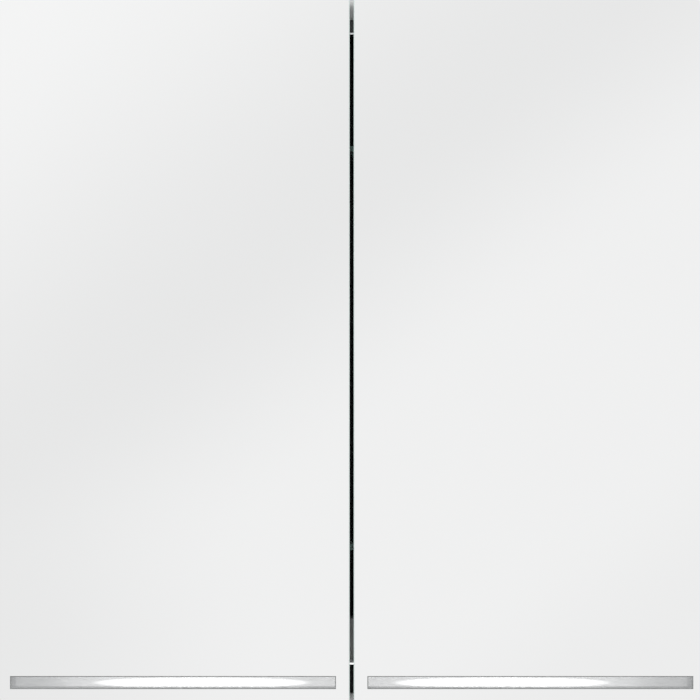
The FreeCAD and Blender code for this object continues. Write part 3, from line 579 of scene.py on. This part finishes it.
def gasket(side):
    """A ring in the seam between the window's edge and the light guide, with a bevelled front; its grey is
    painted shade in the seam.
    """
    (x0, y_guide, z0), (x1, _, z1) = GUIDE[side]
    front = y_guide + GASKET_SUNK
    back = GLASS_BACK - GASKET_SHORT

    def corners(bm, grow, y):
        low_x, high_x = x0 - grow, x1 + grow
        low_z, high_z = z0 - grow, z1 + grow
        points = ((low_x, low_z), (high_x, low_z), (high_x, high_z), (low_x, high_z))
        return [bm.verts.new((x, y, z)) for x, z in points]

    def fill(bm):
        loops = [
            corners(bm, SEAM, back),
            corners(bm, SEAM, front + GASKET_LIP),
            corners(bm, SEAM - GASKET_LIP, front),
            corners(bm, GASKET_LIP, front),
            corners(bm, 0, front + GASKET_LIP),
            corners(bm, 0, back),
        ]
        for a, b in zip(loops, loops[1:] + loops[:1]):
            walls(bm, a, b)

    return fill


# Grey as painted shade: it stands for the shadow in the seam around each window.
gasket_painted_shade_grey = coated(
    "window_gasket_painted_shade", (0.31, 0.31, 0.31), rough=0.55, peel_scale=900.0, peel=0.02 * MM, edge=0.2 * MM
)
for side in SIDES:
    piece(f"{side}_window_gasket_painted_shade", gasket(side), gasket_painted_shade_grey, f"{side}_door")


# ---------------------------------------------------------------- screws of the hinges
HEAD_R = 3.3 * MM
SHANK_R = 1.5 * MM
PLATE_T = 3 * MM
PLATE_SCREW_BACK = 28 * MM
SCREW_INSET = 6 * MM
CUP_U = 22.5 * MM
SIDE_SCREW = (15 * MM, 3.4 * MM)
DEPTH_SCREW = (34 * MM, 3.9 * MM)
ADJUSTER_SUNK = 0.4 * MM


def hinge_box(side, where, part):
    """A hinge part's corners, the height of its middle and the reach of its screws from there."""
    low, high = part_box(f"{side}_{where}_hinge_{part}")
    return low, high, (low[2] + high[2]) / 2, (high[2] - low[2]) / 2 - SCREW_INSET


def plate_screws(bm):
    """Two screws through each mounting plate into the side panel."""
    for side in SIDES:
        for where in HINGES:
            low, high, mid_z, reach = hinge_box(side, where, "plate")
            face = low[0] + PLATE_T if side == "left" else high[0] - PLATE_T
            for way in (-1, 1):
                seat = (face, CARCASS_FRONT + PLATE_SCREW_BACK, mid_z + way * reach)
                inward = (-SIGN[side], 0, 0)
                cross_head(bm, seat, inward, HEAD_R, 1.8 * MM, 1.1 * MM, 14 * MM, SHANK_R)


def cup_screws(side):
    """Two screws through each cup's flange into the door."""

    def fill(bm):
        for where in HINGES:
            _, high, mid_z, reach = hinge_box(side, where, "cup")
            for way in (-1, 1):
                seat = (SIGN[side] * (HALF_WIDE - CUP_U), high[1], mid_z + way * reach)
                cross_head(bm, seat, (0, 1, 0), HEAD_R, 1.2 * MM, 0.8 * MM, 10.4 * MM, SHANK_R)

    return fill


def adjusting_screws(bm):
    """The side and depth adjusting screws let into each hinge arm."""
    for side in SIDES:
        for where in HINGES:
            low, high, mid_z, _ = hinge_box(side, where, "arm")
            inward = -SIGN[side]
            face = high[0] if side == "left" else low[0]
            for behind, radius in (SIDE_SCREW, DEPTH_SCREW):
                seat = (face - inward * ADJUSTER_SUNK, CARCASS_FRONT + behind, mid_z)
                cross_head(bm, seat, (inward, 0, 0), radius, 1.5 * MM, 1.2 * MM)


screw_steel = metal(
    "screw_nickel",
    (0.70, 0.70, 0.69),
    rough=0.32,
    along=EVEN,
    lines=420.0,
    wear=(0.88, 0.88, 0.87),
    edge=0.2 * MM,
)
piece("plate_screw_set", plate_screws, screw_steel, "cabinet", ["hinge_plate_screws"])
piece("adjusting_screws", adjusting_screws, screw_steel, "cabinet")
for side in SIDES:
    replaced = [f"{side}_hinge_cup_screws"]
    piece(f"{side}_cup_screw_set", cup_screws(side), screw_steel, f"{side}_door", replaced)


# ---------------------------------------------------------------- rocker of the switch
ROCKER_STEPS = 14
ROCKER_HALF_WIDE = 6 * MM
ROCKER_HALF_TALL = 8.9 * MM
ROCKER_TILT = 7
PIVOT_BACK = 5.5 * MM


def rocker(bm):
    """Rocker with two shallow dished halves, in its rest tilt."""
    low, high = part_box("switch_bezel")
    pivot = Vector(middle(low, high))
    pivot.y = low[1] + PIVOT_BACK
    tilt = Matrix.Rotation(math.radians(ROCKER_TILT), 4, "X")
    outline = []
    for k in range(ROCKER_STEPS + 1):
        away = 2 * k / ROCKER_STEPS - 1
        dish = 0.45 * MM * math.sin(math.pi * abs(away))
        outline.append((-6.0 * MM - 1.2 * MM * abs(away) + dish, ROCKER_HALF_TALL * away))
    shoulder = ROCKER_HALF_TALL - 0.6 * MM
    outline += [(-1.2 * MM, shoulder), (2.8 * MM, 0), (-1.2 * MM, -shoulder)]
    ends = []
    for x in (-ROCKER_HALF_WIDE, ROCKER_HALF_WIDE):
        ends.append([pivot + tilt @ Vector((x, y, z)) for y, z in outline])
    prism(bm, *ends)


rocker_cap = piece("rocker_cap", rocker, gloss_plastic, "switch_rocker", ["switch_rocker"])
soften(rocker_cap, 0.5 * MM, segments=3, degrees=50)


# ---------------------------------------------------------------- buffers and magnetic catch
BUFFER_R = 2.5 * MM
DOME_STEPS = 6
CATCH_LOW = CEILING - 12.5 * MM
CATCH_HALF_WIDE = 12 * MM
CATCH_BACK = 22 * MM
CATCH_SHEET = 1.8 * MM
SHEET_HALF_WIDE = 14 * MM
SHEET_DEEP = 25 * MM
POLE_X = 6.5 * MM
POLE_HALF_WIDE = 2.4 * MM
STRIKE_R = 2.9 * MM
STRIKE_T = 0.8 * MM


def buffers(bm):
    """Clear domed buffers on the carcass, where the doors' free corners close."""
    low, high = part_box("door_buffers")
    tall = high[1] - low[1]
    straight = 0.35 * tall
    dome = [(BUFFER_R, 0), (BUFFER_R, straight)]
    for k in range(1, DOME_STEPS):
        a = math.pi / 2 * k / DOME_STEPS
        dome.append((BUFFER_R * math.cos(a), straight + (tall - straight) * math.sin(a)))
    dome.append((0.1 * BUFFER_R, tall))
    for x in (low[0] + BUFFER_R, high[0] - BUFFER_R):
        for z in (low[2] + BUFFER_R, high[2] - BUFFER_R):
            Turned(bm, (x, high[1], z), (0, -1, 0), steps=24).solid(dome)


def catch_body(bm):
    """The magnetic catch's plastic housing under the ceiling."""
    low = (-CATCH_HALF_WIDE, CARCASS_FRONT + 1.2 * MM, CATCH_LOW)
    high = (CATCH_HALF_WIDE, CARCASS_FRONT + CATCH_BACK, CEILING)
    block(bm, low, high)


def catch_plates(bm):
    """The catch's bright lower plate, which shows its front edge, and the pole of each magnet."""
    front = CARCASS_FRONT + 0.4 * MM
    low = (-SHEET_HALF_WIDE, front, CATCH_LOW - CATCH_SHEET)
    high = (SHEET_HALF_WIDE, front + SHEET_DEEP, CATCH_LOW)
    block(bm, low, high)
    for way in (-1, 1):
        x = way * POLE_X
        low = (x - POLE_HALF_WIDE, CARCASS_FRONT + 0.3 * MM, CATCH_LOW + 2.2 * MM)
        high = (x + POLE_HALF_WIDE, CARCASS_FRONT + 1.6 * MM, CATCH_LOW + 10 * MM)
        block(bm, low, high)


def strike(side):
    """The steel disc on a door that the magnet pulls."""
    disc = [(STRIKE_R, 0), (STRIKE_R, 0.6 * STRIKE_T), (0.86 * STRIKE_R, STRIKE_T)]
    spot = (SIGN[side] * POLE_X, CORE_BACK, CATCH_LOW + 6 * MM)
    return lambda bm: Turned(bm, spot, (0, 1, 0), steps=28).solid(disc)


silicone = Finish("clear_silicone")
cloud = silicone.noise(silicone.place, 900.0, 3.0)
silicone.set(Base_Color=silicone.mix(cloud, (0.72, 0.76, 0.76), (0.84, 0.87, 0.87)), Alpha=0.55)
silicone.set(Roughness=silicone.smooth(cloud, 0.0, 1.0, 0.12, 0.28), Normal=silicone.bump(cloud, 0.01 * MM))
shade_smooth(piece("clear_buffers", buffers, silicone, "cabinet", ["door_buffers"]))

catch_grey = coated(
    "catch_plastic", (0.16, 0.16, 0.165), rough=0.4, peel_scale=900.0, peel=0.02 * MM, edge=0.4 * MM
)
soften(piece("catch_body", catch_body, catch_grey, "cabinet"), 0.8 * MM)
soften(piece("catch_plates", catch_plates, bright_sheet, "cabinet"), 0.15 * MM, segments=2)
for side in SIDES:
    piece(f"{side}_door_strike", strike(side), zinc, f"{side}_door")


# ---------------------------------------------------------------- light seal behind the gap, near-black as painted shade
SEAL_HALF_WIDE = 6 * MM
SEAL_PROUD = 0.9 * MM
SEAL_BELOW_PAINTED_LEAK = 0.8 * MM
SEAL_STEPS = 8


def light_seal(bm):
    """Dark rounded strip up the middle of the cover, which keeps the cover's painted glow out of the gap; its
    near-black also serves as painted shade seen through the gap.
    """
    face = COVER_LOW[1]
    outline = []
    for k in range(SEAL_STEPS + 1):
        a = math.pi * (1 - k / SEAL_STEPS)
        outline.append((SEAL_HALF_WIDE * math.cos(a), face - SEAL_PROUD * math.sin(a)))
    ends = []
    for z in (COVER_LOW[2], PAINTED_LEAK_Z - SEAL_BELOW_PAINTED_LEAK):
        ends.append([(x, y, z) for x, y in outline])
    prism(bm, *ends)


# Near-black foam: a seal whose colour also serves as painted shade in the gap between the doors.
seal_painted_shade_black = coated(
    "light_seal_foam_painted_shade",
    (0.018, 0.018, 0.019),
    rough=0.8,
    peel_scale=1600.0,
    peel=0.06 * MM,
    spread=0.2,
    wear=(0.03, 0.03, 0.032),
)
piece("gap_light_seal", light_seal, seal_painted_shade_black, "cabinet")


# ---------------------------------------------------------------- camera
CAMERA_BACK = 3.5
FRAME_WIDE = 0.6895
SENSOR = 36.0
AIM = Vector((-1.65 * MM, DOOR_FRONT, DOOR_TOP - 346 * MM))
camera_data = bpy.data.cameras.new("camera")
camera_data.sensor_width = SENSOR
camera_data.lens = SENSOR * CAMERA_BACK / FRAME_WIDE
camera = bpy.data.objects.new("camera", camera_data)
camera.location = AIM - Vector((0, CAMERA_BACK, 0))
camera.rotation_euler = (math.radians(90), 0, 0)
bpy.context.scene.collection.objects.link(camera)
bpy.context.scene.camera = camera


# ---------------------------------------------------------------- studio
# The pale screen in front of the object, as (metres from its middle, brightness) along its diagonal from upper
# left to lower right: a bright corner, a dimmer band, then an even field that falls a little at its end.
# SCREEN_DIM is its lower left corner. Both were chosen by comparing grey levels of a render with the photo's.
SCREEN_LIGHT = ((-0.48, 1.0), (-0.12, 0.885), (0.08, 0.96), (0.27, 0.96), (0.41, 0.93))
SCREEN_DIM = (0.885, 0.885, 0.885)
DIAGONAL = (0.610, -0.792)


def studio():
    """A soft surround: the pale screen in front of the object, and a dimmer room elsewhere."""
    world = bpy.data.worlds.new("studio")
    world.use_nodes = True
    w = Tree(world.node_tree)
    out = w.add("OutputWorld")
    x, y, z = w.split(w.add("TexCoord").outputs["Generated"])
    ahead = w.math("MAXIMUM", w.math("MULTIPLY", y, -1.0), 0.02)
    across = w.math("MULTIPLY", w.math("DIVIDE", x, ahead), CAMERA_BACK)
    up = w.math("MULTIPLY", w.math("DIVIDE", z, ahead), CAMERA_BACK)
    slant = w.math("ADD", w.math("MULTIPLY", across, DIAGONAL[0]), w.math("MULTIPLY", up, DIAGONAL[1]))
    ramp = w.add("ValToRGB", {0: w.math("ADD", slant, 0.5)})
    band = ramp.color_ramp
    band.interpolation = "EASE"
    while len(band.elements) < len(SCREEN_LIGHT):
        band.elements.new(0.5)
    for element, (offset, level) in zip(band.elements, SCREEN_LIGHT):
        element.position = offset + 0.5
        element.color = (level, level, level, 1.0)
    corner = w.math("MULTIPLY", w.smooth(across, -0.06, -0.34), w.smooth(up, -0.10, -0.28, 0.0, 0.85))
    screen = w.mix(corner, ramp.outputs[0], SCREEN_DIM)
    room = w.mix(w.smooth(z, -0.9, 0.9), (0.34, 0.34, 0.35), (0.74, 0.75, 0.76))
    side_glow = w.smooth(w.math("ABSOLUTE", w.math("SUBTRACT", x, 0.62)), 0.30, 0.10, 0.0, 0.45)
    room = w.mix(side_glow, room, (1.0, 1.0, 1.0))
    shown = w.mix(w.smooth(y, -0.80, -0.96), room, screen)
    back = w.add("Background", {"Color": shown, "Strength": 1.0})
    w.tree.links.new(back.outputs[0], out.inputs[0])
    bpy.context.scene.world = world


def area_light(name, place, size, power):
    """A soft panel that points at the middle of the cabinet."""
    data = bpy.data.lights.new(name, "AREA")
    data.shape = "RECTANGLE"
    data.size, data.size_y = size
    data.energy = power
    lamp = bpy.data.objects.new(name, data)
    lamp.location = place
    lamp.rotation_euler = (CENTRE - Vector(place)).to_track_quat("-Z", "Y").to_euler()
    lamp.visible_glossy = False
    bpy.context.scene.collection.objects.link(lamp)


CENTRE = Vector((0, -0.07, -0.3))
studio()
area_light("key_light", (-2.2, -1.7, 1.9), (1.6, 1.2), 34)
area_light("fill_light", (2.4, -1.2, 0.7), (1.4, 1.4), 14)
area_light("rear_light", (0.8, 2.6, 1.5), (1.8, 1.2), 26)


# ---------------------------------------------------------------- floor
FLOOR_Z = -1.0
FLOOR_R = 3.3


def floor_disc():
    """A pale round floor that fades out at its rim and does not hide the cabinet from below."""
    mesh = bpy.data.meshes.new("floor")
    bm = bmesh.new()
    bmesh.ops.create_circle(bm, cap_ends=True, radius=FLOOR_R, segments=96)
    bm.to_mesh(mesh)
    bm.free()
    disc = bpy.data.objects.new("floor", mesh)
    disc.location = (0, 0, FLOOR_Z)
    bpy.context.scene.collection.objects.link(disc)
    f = Finish("pale_floor")
    fade = f.smooth(f.vmath("LENGTH", f.place, out=1), FLOOR_R - 0.1, 1.4)
    from_below = f.add("NewGeometry").outputs["Backfacing"]
    solid = f.math("MULTIPLY", fade, f.math("SUBTRACT", 1.0, from_below))
    mottle = f.noise(f.place, 3.0, 4.0)
    f.set(Base_Color=f.mix(mottle, (0.66, 0.66, 0.66), (0.70, 0.70, 0.70)), Roughness=0.7, Alpha=solid)
    mesh.materials.append(f.material)
    return disc


floor_disc()
bpy.context.scene.view_settings.view_transform = "Standard"
